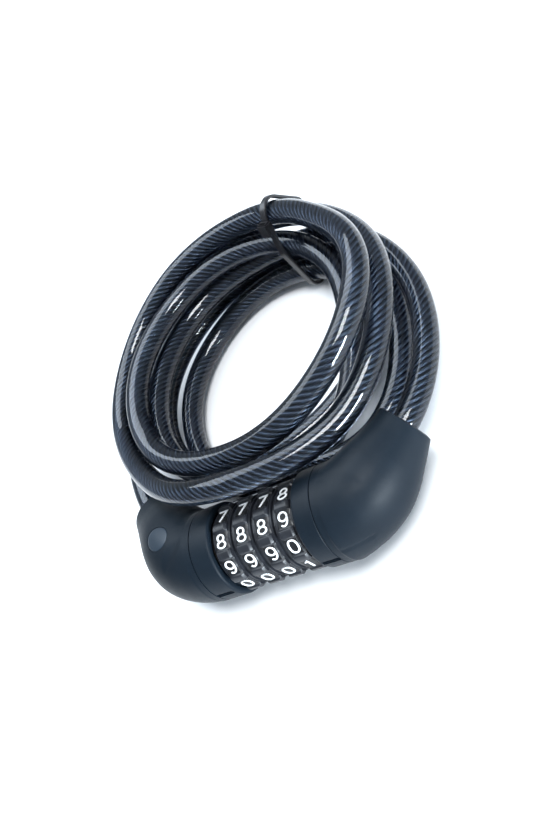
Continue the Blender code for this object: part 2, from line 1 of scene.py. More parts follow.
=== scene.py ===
"""Looks of the four-dial cable lock: camera, cable, housings, dials, tie, light."""
import json
import math

import bmesh
import bpy
from mathutils import Matrix, Vector
from mathutils.bvhtree import BVHTree
from mathutils.geometry import convex_hull_2d


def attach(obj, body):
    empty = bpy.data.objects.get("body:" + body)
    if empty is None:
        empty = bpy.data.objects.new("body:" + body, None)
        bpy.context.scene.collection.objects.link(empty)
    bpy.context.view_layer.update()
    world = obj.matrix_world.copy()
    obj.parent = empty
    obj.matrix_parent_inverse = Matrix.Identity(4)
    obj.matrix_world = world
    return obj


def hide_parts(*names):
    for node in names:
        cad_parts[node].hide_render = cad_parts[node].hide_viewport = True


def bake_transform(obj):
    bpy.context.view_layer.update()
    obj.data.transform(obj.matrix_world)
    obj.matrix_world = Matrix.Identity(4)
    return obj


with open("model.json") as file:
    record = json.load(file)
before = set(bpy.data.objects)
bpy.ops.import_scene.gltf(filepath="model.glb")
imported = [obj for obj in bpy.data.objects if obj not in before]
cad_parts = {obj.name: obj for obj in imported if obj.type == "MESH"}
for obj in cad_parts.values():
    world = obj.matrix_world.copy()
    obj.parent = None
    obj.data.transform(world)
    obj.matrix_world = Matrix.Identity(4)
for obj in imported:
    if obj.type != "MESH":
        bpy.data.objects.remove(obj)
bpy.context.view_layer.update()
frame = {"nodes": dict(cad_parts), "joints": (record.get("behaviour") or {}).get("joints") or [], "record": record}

MM = 0.001
DIAL_COUNT = 4
JOINTS = {joint["name"]: joint for joint in frame["joints"]}
FIRST = Vector(JOINTS["dial_1_turn"]["pos_m"]) / MM
LAST = Vector(JOINTS["dial_4_turn"]["pos_m"]) / MM
LOCK = (FIRST + LAST) / 2
DIAL_PITCH = (LAST.x - FIRST.x) / (DIAL_COUNT - 1)

SHELL_R = 14.4
WALL = 2.0
DIAL_WIDTH = 6.6
DIAL_R = 13.7
LABEL_R = 12.85            # over the number panels
SHOULDER_R = 12.3          # over the plain rims at both sides of a dial
DIAL_BORE_R = 10.2
DIGITS = 10
DIGIT_STEP = 36.0          # degrees from one number to the next
FIRST_DIGIT_ANGLE = 67.7   # of the number 7 on dials 1 to 3, from +Y towards +Z
READING_ANGLE = 174.0      # of the reading marks, from +Y towards +Z
BODY_FACE = 16.5           # from the middle of the lock to each collar's face
PLUG_FACE = 15.5
COLLAR_LENGTH = 7.8
CABLE_D = 8.0
ROPE_R = 2.8
STRANDS = 8
STRAND_R = 0.77
ROPE_LAY = 18.0            # length of one turn of a strand
WIRES = 7.0                # wires round a strand
WIRE_LAY = 7.0             # length of one turn of a wire
SEAM = 1.7                 # how far the covers reach over the collars

# The cover outlines and the cable's windings are the part's own, in mm. Each line of an
# outline has the inner and the outer side of one section, and half its height.
BODY_OUTLINE = [
    (24.6, 14.4, 24.6, -14.4, 14.35),
    (25.6, 14.4, 26.0, -14.4, 14.35),
    (26.6, 15.0, 31.2, -13.6, 14.3),
    (27.6, 15.8, 37.4, -11.6, 14.3),
    (29.6, 17.0, 43.2, -8.2, 14.0),
    (32.2, 18.6, 47.6, -3.6, 13.4),
    (35.2, 20.4, 50.4, 1.2, 12.4),
    (38.4, 22.4, 52.6, 5.9, 11.0),
    (41.8, 24.5, 54.6, 10.4, 9.5),
    (45.3, 27.0, 56.7, 15.1, 8.2),
]
PLUG_OUTLINE = [
    (23.6, 14.4, 23.6, -14.4, 14.35),
    (24.6, 14.4, 24.8, -14.4, 14.35),
    (25.6, 14.6, 29.6, -12.7, 14.3),
    (26.6, 15.0, 34.4, -10.4, 14.2),
    (28.6, 16.0, 39.2, -7.1, 13.8),
    (31.0, 17.4, 43.0, -3.2, 13.0),
    (33.6, 19.0, 45.8, 0.8, 11.8),
    (36.1, 20.9, 48.0, 4.9, 10.5),
    (38.4, 22.7, 50.0, 8.8, 9.2),
    (40.7, 24.6, 51.8, 12.6, 8.2),
]
BUNDLE = Vector((LOCK.x + 0.2, LOCK.y + 62.5, 0.0))
START_ANGLE = 218.8
EIGHTH = 45.0
WHOLE_TURNS = 5
# Radius about the bundle's middle and height, at each eighth of a turn
WINDINGS = [
    (63.0, 15.0), (57.0, 18.5), (53.0, 22.5), (50.5, 22.7),
    (52.0, 27.0), (54.0, 26.5), (54.5, 35.5), (55.0, 29.5),
    (59.5, 26.0), (55.5, 28.5), (48.0, 30.7), (45.0, 35.0),
    (51.0, 38.0), (46.0, 34.5), (42.5, 30.5), (46.5, 30.5),
    (46.5, 30.5), (46.5, 26.0), (43.0, 22.6), (38.5, 19.5),
    (35.0, 16.5), (38.2, 9.6), (42.5, 4.6), (44.5, 4.4),
    (43.5, 6.2), (42.0, 5.0), (40.0, 6.0), (39.0, 6.1),
    (33.5, 4.5), (29.8, 5.5), (35.0, 10.8), (46.5, 13.0),
    (51.0, 12.2), (50.5, 9.2), (49.0, 6.0), (47.5, 6.1),
    (46.5, 5.6), (50.0, 6.0), (44.3, 17.4), (46.0, 21.7),
    (44.5, 22.0), (45.5, 17.5), (45.0, 14.3), (50.0, 14.5),
    (57.0, 11.5),
]
POINTS_PER_TURN = 14
SPLIT_STEP = 77.5          # steps of a turn, from the body's mouth to the cut
FINE_STEPS = 20            # points of the fine route for each step of the plain one
INSIDE_CHORDS = 0.014      # share of the radius that a smooth winding lies further in
INSIDE_FADE = 30.0         # degrees from each mouth in which that share comes in
MOUTH_INSIDE = 12.0
TIE_ANGLE = 65.0
TIE_WIDTH = 2.4
TIE_THICKNESS = 1.1
TIE_SLACK = 0.7
TIE_HEAD = (3.4, 4.4, 4.8)  # across the strap's thickness, its width, its length


# ---------------------------------------------------------------- camera
def make_camera():
    """A camera above the plug's side, looking down on the lock and its cable."""
    right = Vector((0.7845, -0.0525, -0.6178))
    up = Vector((0.3508, 0.8592, 0.3724))
    back = Vector((0.5113, -0.5089, 0.6925))
    place = Vector((131.58, -93.3, 185.8)) * MM
    data = bpy.data.cameras.new("camera")
    data.sensor_fit = "VERTICAL"
    data.sensor_height = 24.0
    data.lens = 22.385
    data.clip_start = 0.01
    obj = bpy.data.objects.new("camera", data)
    turn = Matrix((right, up, back)).transposed().to_4x4()
    obj.matrix_world = Matrix.Translation(place) @ turn
    bpy.context.scene.collection.objects.link(obj)
    bpy.context.scene.camera = obj


# ---------------------------------------------------------------- geometry helpers
EDGE_ANGLE = 35            # degrees; a sharper edge stays sharp


def smooth(values, position):
    """A smooth curve through evenly spaced values, read at a fractional index."""
    last = len(values) - 1
    index = min(int(position), last - 1)
    part = position - index
    before = values[max(index - 1, 0)]
    start = values[index]
    end = values[index + 1]
    after = values[min(index + 2, last)]
    slope_in = (end - before) * 0.5
    slope_out = (after - start) * 0.5
    rise = end - start
    cubic = slope_in + slope_out - 2.0 * rise
    square = 3.0 * rise - 2.0 * slope_in - slope_out
    return start + part * (slope_in + part * (square + part * cubic))


def step_up(edge_low, edge_high, value):
    """0 below the low edge, 1 above the high one, and smooth between them."""
    part = min(max((value - edge_low) / (edge_high - edge_low), 0.0), 1.0)
    return part * part * (3.0 - 2.0 * part)


def lock_point(x, y=0.0, z=0.0):
    """A point in metres, from its place in mm about the middle of the dials."""
    return (LOCK + Vector((x, y, z))) * MM


def link(name, bm, smooth_angle=None):
    """An object of the bmesh; with an angle, it is smooth up to edges that sharp."""
    bmesh.ops.recalc_face_normals(bm, faces=bm.faces)
    mesh = bpy.data.meshes.new(name)
    bm.to_mesh(mesh)
    bm.free()
    obj = bpy.data.objects.new(name, mesh)
    bpy.context.scene.collection.objects.link(obj)
    if smooth_angle is not None:
        mesh.shade_smooth()
        mesh.set_sharp_from_angle(angle=math.radians(smooth_angle))
    return obj


def skin(bm, rows, closed_rows=False):
    """Quads over rings of points; returns the rings of vertices."""
    rings = [[bm.verts.new(point) for point in row] for row in rows]
    pairs = list(zip(rings, rings[1:]))
    if closed_rows:
        pairs.append((rings[-1], rings[0]))
    for ring, following in pairs:
        count = len(ring)
        for index in range(count):
            after = (index + 1) % count
            bm.faces.new((ring[index], ring[after], following[after], following[index]))
    return rings


def turned(name, profile, matrix, steps):
    """A closed (radius, height) profile in mm, turned about the matrix's Z."""
    rows = []
    for radius, height in profile:
        row = []
        for step in range(steps):
            angle = math.tau * (step + 0.5) / steps
            local = Vector((radius * math.cos(angle), radius * math.sin(angle), height)) * MM
            row.append(matrix @ local)
        rows.append(row)
    bm = bmesh.new()
    skin(bm, rows, closed_rows=True)
    return link(name, bm, EDGE_ANGLE)


def rounded_box(name, size, edge, segments):
    """A box of a size in mm, with rounded edges, about the origin."""
    bm = bmesh.new()
    bmesh.ops.create_cube(bm, size=1.0)
    bmesh.ops.scale(bm, vec=Vector(size) * MM, verts=bm.verts)
    bmesh.ops.bevel(bm, geom=bm.edges, offset=edge * MM, segments=segments, affect="EDGES")
    return link(name, bm, EDGE_ANGLE)


def carve(obj, cutter):
    """Cuts the cutter's shape out of the object and removes the cutter."""
    cut = obj.modifiers.new("cut", "BOOLEAN")
    cut.solver = "EXACT"
    cut.object = cutter
    bpy.context.view_layer.update()
    graph = bpy.context.evaluated_depsgraph_get()
    mesh = bpy.data.meshes.new_from_object(obj.evaluated_get(graph))
    obj.modifiers.clear()
    obj.data = mesh
    bpy.data.objects.remove(cutter, do_unlink=True)


def shade(obj):
    obj.data.shade_smooth()
    obj.data.set_sharp_from_angle(angle=math.radians(EDGE_ANGLE))


def outward(side):
    """The lock's own middle, with Z pointing to the body (-1) or to the plug (1)."""
    turn = Matrix.Rotation(math.radians(90.0 * side), 4, "Y")
    return Matrix.Translation(lock_point(0.0)) @ turn


# ---------------------------------------------------------------- materials
class Nodes:
    """Short calls for building one material's node tree."""

    def __init__(self, name, **constants):
        self.material = bpy.data.materials.new(name)
        self.material.use_nodes = True
        self.tree = self.material.node_tree
        self.shader = self.tree.nodes["Principled BSDF"]
        for socket, value in constants.items():
            self.shader.inputs[socket.replace("_", " ")].default_value = value

    def add(self, kind, inputs=(), **settings):
        node = self.tree.nodes.new(kind)
        for key, value in settings.items():
            setattr(node, key, value)
        for socket, value in dict(inputs).items():
            if isinstance(value, bpy.types.NodeSocket):
                self.tree.links.new(value, node.inputs[socket])
            else:
                node.inputs[socket].default_value = value
        return node

    def math(self, operation, first, second=0.0, third=0.0):
        inputs = {0: first, 1: second, 2: third}
        return self.add("ShaderNodeMath", inputs, operation=operation).outputs[0]

    def place(self):
        return self.add("ShaderNodeTexCoord").outputs["Object"]

    def noise(self, scale, detail=3.0, roughness=0.5):
        inputs = {"Scale": scale, "Detail": detail, "Roughness": roughness}
        inputs["Vector"] = self.place()
        return self.add("ShaderNodeTexNoise", inputs).outputs["Fac"]

    def ramp(self, factor, stops):
        node = self.add("ShaderNodeValToRGB", {"Fac": factor})
        elements = node.color_ramp.elements
        while len(elements) < len(stops):
            elements.new(0.5)
        for element, (position, colour) in zip(elements, stops):
            element.position = position
            element.color = (*colour, 1.0)
        return node.outputs["Color"]

    def bump(self, height, strength, distance):
        inputs = {"Height": height, "Strength": strength, "Distance": distance}
        return self.add("ShaderNodeBump", inputs).outputs["Normal"]

    def join(self, **sockets):
        for socket, value in sockets.items():
            self.tree.links.new(value, self.shader.inputs[socket.replace("_", " ")])
        return self.material


def soft_touch():
    """Matte moulded housing: blue-black, fine spark-eroded grain, faint handling marks."""
    n = Nodes("soft_touch", Specular_IOR_Level=0.13, IOR=1.5)
    grain = n.noise(6500.0, 2.0, 0.6)
    cloud = n.noise(90.0, 4.0, 0.6)
    colour = n.ramp(cloud, [(0.30, (0.0048, 0.0088, 0.0140)), (0.75, (0.0066, 0.0114, 0.0175))])
    rough = n.math("MULTIPLY_ADD", n.noise(300.0, 3.0), 0.10, 0.40)
    return n.join(Base_Color=colour, Roughness=rough, Normal=n.bump(grain, 0.45, 0.00006))


def badge_plastic():
    """The oval blank: a smoother, greyer insert."""
    n = Nodes("badge_plastic", Specular_IOR_Level=0.3)
    grain = n.noise(4200.0, 2.0, 0.5)
    colour = n.ramp(n.noise(160.0, 3.0), [(0.3, (0.016, 0.026, 0.039)), (0.7, (0.020, 0.032, 0.047))])
    rough = n.math("MULTIPLY_ADD", grain, 0.10, 0.34)
    return n.join(Base_Color=colour, Roughness=rough, Normal=n.bump(grain, 0.12, 0.00003))


def dial_plastic():
    """Black glass-filled nylon, slightly polished on the ribs by fingers."""
    n = Nodes("dial_plastic", Specular_IOR_Level=0.5)
    grain = n.noise(5200.0, 2.0, 0.6)
    colour = n.ramp(n.noise(240.0, 3.0), [(0.3, (0.0085, 0.0095, 0.013)), (0.7, (0.013, 0.015, 0.020))])
    rough = n.math("MULTIPLY_ADD", n.noise(900.0, 3.0), 0.16, 0.34)
    return n.join(Base_Color=colour, Roughness=rough, Normal=n.bump(grain, 0.16, 0.00004))


def dial_label():
    """The printed panels: matte, deep black."""
    n = Nodes("dial_label", Specular_IOR_Level=0.35)
    grain = n.noise(4200.0, 3.0)
    colour = n.ramp(grain, [(0.3, (0.0035, 0.0038, 0.0050)), (0.7, (0.0060, 0.0065, 0.0080))])
    return n.join(Base_Color=colour, Roughness=n.math("MULTIPLY_ADD", grain, 0.15, 0.42),
                  Normal=n.bump(grain, 0.2, 0.00004))


def number_paint():
    """White pad-printed ink with a slightly uneven coat."""
    n = Nodes("number_paint", Specular_IOR_Level=0.3)
    cover = n.noise(2600.0, 4.0, 0.6)
    colour = n.ramp(cover, [(0.25, (0.74, 0.76, 0.78)), (0.6, (0.90, 0.91, 0.92))])
    return n.join(Base_Color=colour, Roughness=n.math("MULTIPLY_ADD", cover, 0.2, 0.4),
                  Normal=n.bump(cover, 0.15, 0.00002))


def smoked_sheath():
    """Glossy smoke-grey plastic, clear enough to show the rope inside it."""
    n = Nodes("smoked_sheath", Transmission_Weight=1.0, IOR=1.43, Specular_IOR_Level=0.5)
    haze = n.noise(70.0, 3.0)
    colour = n.ramp(haze, [(0.3, (0.19, 0.235, 0.310)), (0.7, (0.235, 0.285, 0.365))])
    rough = n.math("MULTIPLY_ADD", n.noise(400.0, 2.0), 0.03, 0.035)
    return n.join(Base_Color=colour, Roughness=rough, Normal=n.bump(haze, 0.08, 0.0003))


def rope_wires():
    """One strand of the rope: fine steel wires laid round it, with painted shade between them and a painted glint
    on their crowns.
    """
    n = Nodes("rope_wires", Metallic=1.0)
    flat = n.add("ShaderNodeUVMap", uv_map="UVMap").outputs["UV"]
    split = n.add("ShaderNodeSeparateXYZ", {"Vector": flat})
    wires = helix(n, split.outputs["X"], split.outputs["Y"], WIRE_LAY, WIRES)
    wear = n.noise(420.0, 4.0, 0.6)
    painted_glint_shade_and_wear = n.math("MULTIPLY", wires, n.math("MULTIPLY_ADD", wear, 0.8, 0.6))
    # The colour paints a glint on the wires' crowns and shade between them; the wear noise varies it at random.
    colour = n.ramp(painted_glint_shade_and_wear, [(0.10, (0.030, 0.034, 0.042)), (0.55, (0.15, 0.165, 0.19)),
                            (0.95, (0.42, 0.45, 0.50))])
    rough = n.math("MULTIPLY_ADD", wear, 0.2, 0.26)
    return n.join(Base_Color=colour, Roughness=rough, Normal=n.bump(wires, 0.8, 0.00012))


def helix(n, along, around, lay, starts):
    """Round ridges that each wind once round a strand in a length of lay."""
    phase = n.math("MULTIPLY_ADD", along, 1.0 / lay, n.math("MULTIPLY", around, starts))
    wave = n.math("SINE", n.math("MULTIPLY", phase, math.tau))
    return n.math("MULTIPLY_ADD", wave, 0.5, 0.5)


def nylon():
    n = Nodes("tie_nylon", Specular_IOR_Level=0.5)
    marks = n.noise(1500.0, 3.0)
    colour = n.ramp(marks, [(0.3, (0.010, 0.010, 0.012)), (0.7, (0.018, 0.018, 0.021))])
    return n.join(Base_Color=colour, Roughness=n.math("MULTIPLY_ADD", marks, 0.2, 0.22),
                  Normal=n.bump(marks, 0.1, 0.00004))


def rubber():
    n = Nodes("grommet_rubber", Specular_IOR_Level=0.4)
    grain = n.noise(3800.0, 3.0)
    colour = n.ramp(grain, [(0.3, (0.008, 0.008, 0.010)), (0.7, (0.016, 0.016, 0.018))])
    return n.join(Base_Color=colour, Roughness=n.math("MULTIPLY_ADD", grain, 0.2, 0.55),
                  Normal=n.bump(grain, 0.25, 0.00006))


def metal(name, dark, light, roughness, scale, strength):
    """Plated or cast metal with fine tool or cast marks."""
    n = Nodes(name, Metallic=1.0)
    marks = n.noise(scale, 4.0, 0.6)
    colour = n.ramp(marks, [(0.3, dark), (0.7, light)])
    rough = n.math("MULTIPLY_ADD", marks, 0.15, roughness)
    return n.join(Base_Color=colour, Roughness=rough, Normal=n.bump(marks, strength, 0.00006))


def floor_look():
    n = Nodes("floor_card", Specular_IOR_Level=0.2)
    fibre = n.noise(700.0, 3.0)
    colour = n.ramp(fibre, [(0.0, (0.92, 0.92, 0.925)), (1.0, (0.94, 0.94, 0.945))])
    return n.join(Base_Color=colour, Roughness=n.math("MULTIPLY_ADD", fibre, 0.1, 0.75))


LOOKS = {
    "housing": soft_touch(),
    "badge": badge_plastic(),
    "number_dials": dial_plastic(),
    "numbers": number_paint(),
    "labels": dial_label(),
    "sheath": smoked_sheath(),
    "wires": rope_wires(),
    "tie": nylon(),
    "grommets": rubber(),
    "bright_steel": metal("turned_steel", (0.50, 0.50, 0.52), (0.68, 0.68, 0.70), 0.20, 900.0, 0.10),
    "spring_steel": metal("spring_steel", (0.40, 0.39, 0.37), (0.58, 0.57, 0.54), 0.22, 600.0, 0.10),
    "rings": metal("stamped_brass", (0.55, 0.38, 0.15), (0.74, 0.55, 0.25), 0.26, 700.0, 0.12),
    "castings": metal("die_cast_zinc", (0.36, 0.37, 0.39), (0.52, 0.53, 0.55), 0.38, 1400.0, 0.30),
    "rope": metal("rope_steel", (0.34, 0.34, 0.35), (0.62, 0.62, 0.63), 0.25, 1100.0, 0.30),
}


def dress(obj, slot, body=None, *replaced):
    """Gives a piece the material of a slot, its body, and hides the parts it stands for."""
    obj.data.materials.clear()
    obj.data.materials.append(LOOKS[slot])
    if body:
        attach(obj, body)
    if replaced:
        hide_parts(*replaced)
    return obj


# ---------------------------------------------------------------- the cable
TUBE_SIDES = 28
STRAND_SIDES = 8


def mouth(outline, side):
    """The middle of a cover's open end, with Z pointing out of it."""
    inner_u, inner_v, outer_u, outer_v, _ = outline[-1]
    across = Vector((inner_u - outer_u, inner_v - outer_v)).normalized()
    middle = lock_point(side * (inner_u + outer_u) / 2, (inner_v + outer_v) / 2)
    out = Vector((side * across.y, -across.x, 0.0))
    return Matrix.Translation(middle) @ out.to_track_quat("Z", "Y").to_matrix().to_4x4()


def polar_of(point):
    """Radius, height and angle of a point about the bundle's middle, in mm and degrees."""
    offset = point / MM - BUNDLE
    return math.hypot(offset.x, offset.y), offset.z, math.degrees(math.atan2(offset.y, offset.x))


def bundle_point(angle, radius, height):
    turn = math.radians(angle)
    place = Vector((radius * math.cos(turn), radius * math.sin(turn), height))
    return (BUNDLE + place) * MM


def fine_route():
    """Points of the cable close together, and the index where it is cut."""
    body_mouth = mouth(BODY_OUTLINE, -1)
    plug_mouth = mouth(PLUG_OUTLINE, 1)
    first = polar_of(body_mouth.translation)
    last = polar_of(plug_mouth.translation)
    stations = [first[:2]] + WINDINGS + [last[:2]]
    radii = [station[0] for station in stations]
    heights = [station[1] for station in stations]
    end_angle = START_ANGLE - last[2] + 360.0 * WHOLE_TURNS
    step = 360.0 / POINTS_PER_TURN / FINE_STEPS
    last_station = len(stations) - 1
    points = inside_mouth(body_mouth)
    count = int(end_angle / step)
    cut = len(points) + int(SPLIT_STEP * FINE_STEPS)
    for index in range(1, count):
        travelled = index * step
        position = travelled / EIGHTH
        if position > last_station - 1:
            start = (last_station - 1) * EIGHTH
            position = last_station - 1 + (travelled - start) / (end_angle - start)
        inward = INSIDE_CHORDS * step_up(0.0, INSIDE_FADE, min(travelled, end_angle - travelled))
        place = smooth(radii, position) * (1.0 - inward), smooth(heights, position)
        points.append(bundle_point(START_ANGLE - travelled, *place))
    points += list(reversed(inside_mouth(plug_mouth)))
    return rounded(points), cut


def inside_mouth(matrix):
    """Points up a mouth's axis, from the ferrule to the mouth."""
    count = 8
    depths = [MOUTH_INSIDE * (1.0 - step / count) for step in range(count + 1)]
    return [matrix @ Vector((0.0, 0.0, -depth * MM)) for depth in depths]


def rounded(points, rounds=12):
    """Takes the corner out of the route where it enters the mouths."""
    for _ in range(rounds):
        middle = [(a + b * 2.0 + c) / 4.0 for a, b, c in zip(points, points[1:], points[2:])]
        points = [points[0]] + middle + [points[-1]]
    return points


def frames_along(path):
    """The tangent and an untwisted side direction at every point of a path."""
    tangent = (path[1] - path[0]).normalized()
    side = tangent.cross(Vector((0.0, 0.0, 1.0))).normalized()
    frames = []
    for index in range(len(path)):
        ahead = path[min(index + 1, len(path) - 1)]
        behind = path[max(index - 1, 0)]
        tangent = (ahead - behind).normalized()
        side = (side - tangent * side.dot(tangent)).normalized()
        frames.append((tangent, side))
    return frames


def add_tube(bm, path, radius, sides, capped):
    """A round tube along a path, with a UV map in mm along it and turns round it."""
    layer = bm.loops.layers.uv.verify()
    distances = [0.0]
    for start, end in zip(path, path[1:]):
        distances.append(distances[-1] + (end - start).length / MM)
    rings = []
    for point, (tangent, side) in zip(path, frames_along(path)):
        up = tangent.cross(side)
        ring = []
        for corner in range(sides):
            angle = math.tau * corner / sides
            offset = side * math.cos(angle) + up * math.sin(angle)
            ring.append(bm.verts.new(point + offset * radius))
        rings.append(ring)
    for row, (ring, following) in enumerate(zip(rings, rings[1:])):
        for corner in range(sides):
            after = (corner + 1) % sides
            corners = (ring[corner], ring[after], following[after], following[corner])
            places = ((row, corner), (row, corner + 1), (row + 1, corner + 1), (row + 1, corner))
            face = bm.faces.new(corners)
            face.smooth = True
            for loop, (station, turn) in zip(face.loops, places):
                loop[layer].uv = (distances[station], turn / sides)
    if "start" in capped:
        bm.faces.new(list(reversed(rings[0])))
    if "end" in capped:
        bm.faces.new(rings[-1])


def tube(name, path, radius, capped):
    bm = bmesh.new()
    add_tube(bm, path, radius, TUBE_SIDES, capped)
    return link(name, bm, 50)


def rope(name, path, travelled):
    """The rope's strands, laid round each other inside the sheath."""
    bm = bmesh.new()
    frames = frames_along(path)
    for strand in range(STRANDS):
        line = []
        distance = travelled
        for index, (point, (tangent, side)) in enumerate(zip(path, frames)):
            if index:
                distance += (point - path[index - 1]).length / MM
            angle = math.tau * (distance / ROPE_LAY + strand / STRANDS)
            up = tangent.cross(side)
            offset = side * math.cos(angle) + up * math.sin(angle)
            line.append(point + offset * (ROPE_R - STRAND_R) * MM)
        add_tube(bm, line, STRAND_R * MM, STRAND_SIDES, ())
    return link(name, bm, 60)


def path_length(path):
    return sum((b - a).length for a, b in zip(path, path[1:]))


def make_cable():
    """The wound length rides on the body; the last stretch bends out to the plug."""
    route, cut = fine_route()
    main_path = route[:cut + 1]
    end_path = route[cut:]
    main = tube("cable_wound", main_path, CABLE_D / 2 * MM, ("start",))
    dress(main, "sheath", "lock_body", "cable")
    end = tube("cable_at_plug", end_path, CABLE_D / 2 * MM, ("end",))
    dress(end, "sheath")
    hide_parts("cable_plug_end")
    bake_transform(end)
    length = path_length(main_path) / MM
    dress(rope("rope_wound", main_path, 0.0), "wires", "lock_body")
    stretch = rope("rope_at_plug", end_path, length)
    dress(stretch, "wires")
    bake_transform(stretch)
    return route, cut


# ---------------------------------------------------------------- the housings
COVER_RINGS = 78
COVER_SIDES = 144
MOUTH_BULGE = 0.35         # rounding of a cover's edge at its mouth, and at the seam
SEAM_BULGE = 0.05


def leaf_dent(point, start, end, width, depth):
    """A shallow leaf-shaped hollow seen from above; its ends are points."""
    line = Vector(end) - Vector(start)
    offset = Vector(point) - Vector(start)
    part = offset.dot(line) / line.length_squared
    if not 0.0 < part < 1.0:
        return 0.0
    across = abs(offset.x * line.y - offset.y * line.x) / line.length
    lens = math.sin(math.pi * part)
    reach = width * lens ** 0.8
    return depth * lens ** 0.5 * step_up(0.0, 1.0, 1.0 - across / max(reach, 0.01))


def groove_dent(point, start, end, width, depth):
    """A narrow groove between two points in space, with round ends."""
    line = Vector(end) - Vector(start)
    offset = Vector(point) - Vector(start)
    part = min(max(offset.dot(line) / line.length_squared, 0.0), 1.0)
    distance = (offset - line * part).length
    return depth * step_up(0.0, 1.0, 1.0 - distance / width)


# Start, end, width and depth of the hollows on the covers
PLUG_LEAF = ((23.6, 4.4), (37.5, -1.0), 4.2, 0.24)
PLUG_GROOVE = ((24.4, -13.6, 4.4), (33.2, -11.2, 1.6), 0.75, 0.45)
BODY_LEAF = ((26.0, 2.0), (35.5, -6.2), 3.2, 0.34)


def plug_dent(u, v, z):
    top = leaf_dent((u, v), *PLUG_LEAF) if z > 0 else 0.0
    return top + groove_dent((u, v, z), *PLUG_GROOVE)


def body_dent(u, v, z):
    return leaf_dent((u, v), *BODY_LEAF) if z >= 0 else 0.0


def no_dent(u, v, z):
    return 0.0


def cover_rows(outline, side, dent, inset):
    """Rings of points over a cover's outline, moved in by the inset and the dents."""
    rows = []
    last = len(outline) - 1
    for step in range(COVER_RINGS + 1):
        position = last * step / COVER_RINGS
        inner_u, inner_v, outer_u, outer_v, half = [smooth(c, position) for c in zip(*outline)]
        middle = Vector((inner_u + outer_u, inner_v + outer_v)) * 0.5
        reach = Vector((inner_u - outer_u, inner_v - outer_v)) * 0.5
        row = []
        for corner in range(COVER_SIDES):
            angle = (corner + 0.5) * math.tau / COVER_SIDES
            plan = middle + reach * math.sin(angle)
            z = half * math.cos(angle)
            depth = inset + dent(plan.x, plan.y, z)
            plan -= reach.normalized() * math.sin(angle) * depth
            z -= math.cos(angle) * depth
            row.append(lock_point(side * plan.x, plan.y, z))
        rows.append(row)
    return rows


def rim_rows(outer_row, inner_row, steps=5):
    """Rings between the outer and the inner wall, across the edge."""
    rows = []
    for step in range(1, steps):
        part = step / steps
        rows.append([a.lerp(b, part) for a, b in zip(outer_row, inner_row)])
    return rows


def make_cover(name, outline, side, dent, body):
    """A cover with a wall, closed at the seam and rounded at its mouth."""
    inner_u, inner_v, outer_u, outer_v, half = outline[0]
    outline = [(inner_u - SEAM, inner_v, outer_u - SEAM, outer_v, half)] + outline
    outer = cover_rows(outline, side, dent, 0.0)
    inner = cover_rows(outline, side, no_dent, WALL)
    out = mouth(outline, side).to_3x3() @ Vector((0.0, 0.0, 1.0))
    rim = rim_rows(outer[-1], inner[-1])
    bulge = MOUTH_BULGE * MM
    for index, row in enumerate(rim):
        part = (index + 1) / (len(rim) + 1)
        lift = out * bulge * math.sin(math.pi * part)
        rim[index] = [point + lift for point in row]
    start = rim_rows(inner[0], outer[0], 3)
    inward = Vector((-side, 0.0, 0.0)) * SEAM_BULGE * MM
    start = [[point + inward for point in row] for row in start]
    bm = bmesh.new()
    skin(bm, outer + rim + list(reversed(inner)) + start, closed_rows=True)
    obj = link(name, bm, 40)
    return dress(obj, "housing", body, name.replace("_shell", "_cover"))


COLLAR_SIDES = 160
LIP_DEPTH = 0.95           # rounding of a collar's edge, in radius and along the lock
LIP_LENGTH = 0.9
SEAM_EDGE = 0.12
SPIGOT_R = SHELL_R - 2.8   # the part of a collar that the cover goes over
SPIGOT_BORE_R = SHELL_R - 4.2
SPIGOT_LENGTH = 1.2
COLLAR_WEB = 1.4
SKIRT_BORE_R = SHELL_R - 1.8
MARK_SIZE = (7.4, 1.7, 1.6)
MARK_MIDDLE = 3.5          # behind the collar's face


def collar_profile(face, bore, skirt):
    """Rounded edge, outside, spigot, inside and web of a collar, as (radius, height).

    The skirt is how far the collar's edge reaches over the gap beside the dials.
    """
    end = face + COLLAR_LENGTH - SEAM
    start = face - skirt
    web_end = face + COLLAR_WEB
    spigot_end = end + SPIGOT_LENGTH
    edge_steps = 6
    lip = []
    for step in range(edge_steps + 1):
        angle = math.pi / 2 * step / edge_steps
        radius = SHELL_R - LIP_DEPTH + LIP_DEPTH * math.sin(angle)
        lip.append((radius, start + LIP_LENGTH - LIP_LENGTH * math.cos(angle)))
    outside = [(SHELL_R, end - SEAM_EDGE), (SHELL_R - SEAM_EDGE, end), (SPIGOT_R, end)]
    inside = [(SPIGOT_R, spigot_end), (SPIGOT_BORE_R, spigot_end), (SPIGOT_BORE_R, web_end)]
    web = [(bore, web_end), (bore, face), (SKIRT_BORE_R, face), (SKIRT_BORE_R, start + 0.1),
           (SKIRT_BORE_R + 0.1, start)]
    return lip + outside + inside + web


def make_collar(name, side, face, bore, skirt, body):
    """The ring next to the dials, with the reading mark cut into it."""
    obj = turned(name, collar_profile(face, bore, skirt), outward(side), COLLAR_SIDES)
    mark = rounded_box(name + "_mark_cutter", MARK_SIZE, 0.35, 3)
    around = math.radians(READING_ANGLE)
    normal = Vector((0.0, math.cos(around), math.sin(around)))
    along = Vector((1.0, 0.0, 0.0))
    turn = Matrix((along, normal.cross(along), normal)).transposed().to_4x4()
    middle = Vector((side * (face + MARK_MIDDLE), 0.0, 0.0)) + normal * (SHELL_R + 0.1)
    mark.matrix_world = Matrix.Translation(lock_point(*middle)) @ turn
    carve(obj, mark)
    shade(obj)
    return dress(obj, "housing", body, name.replace("_ring", "_collar"))


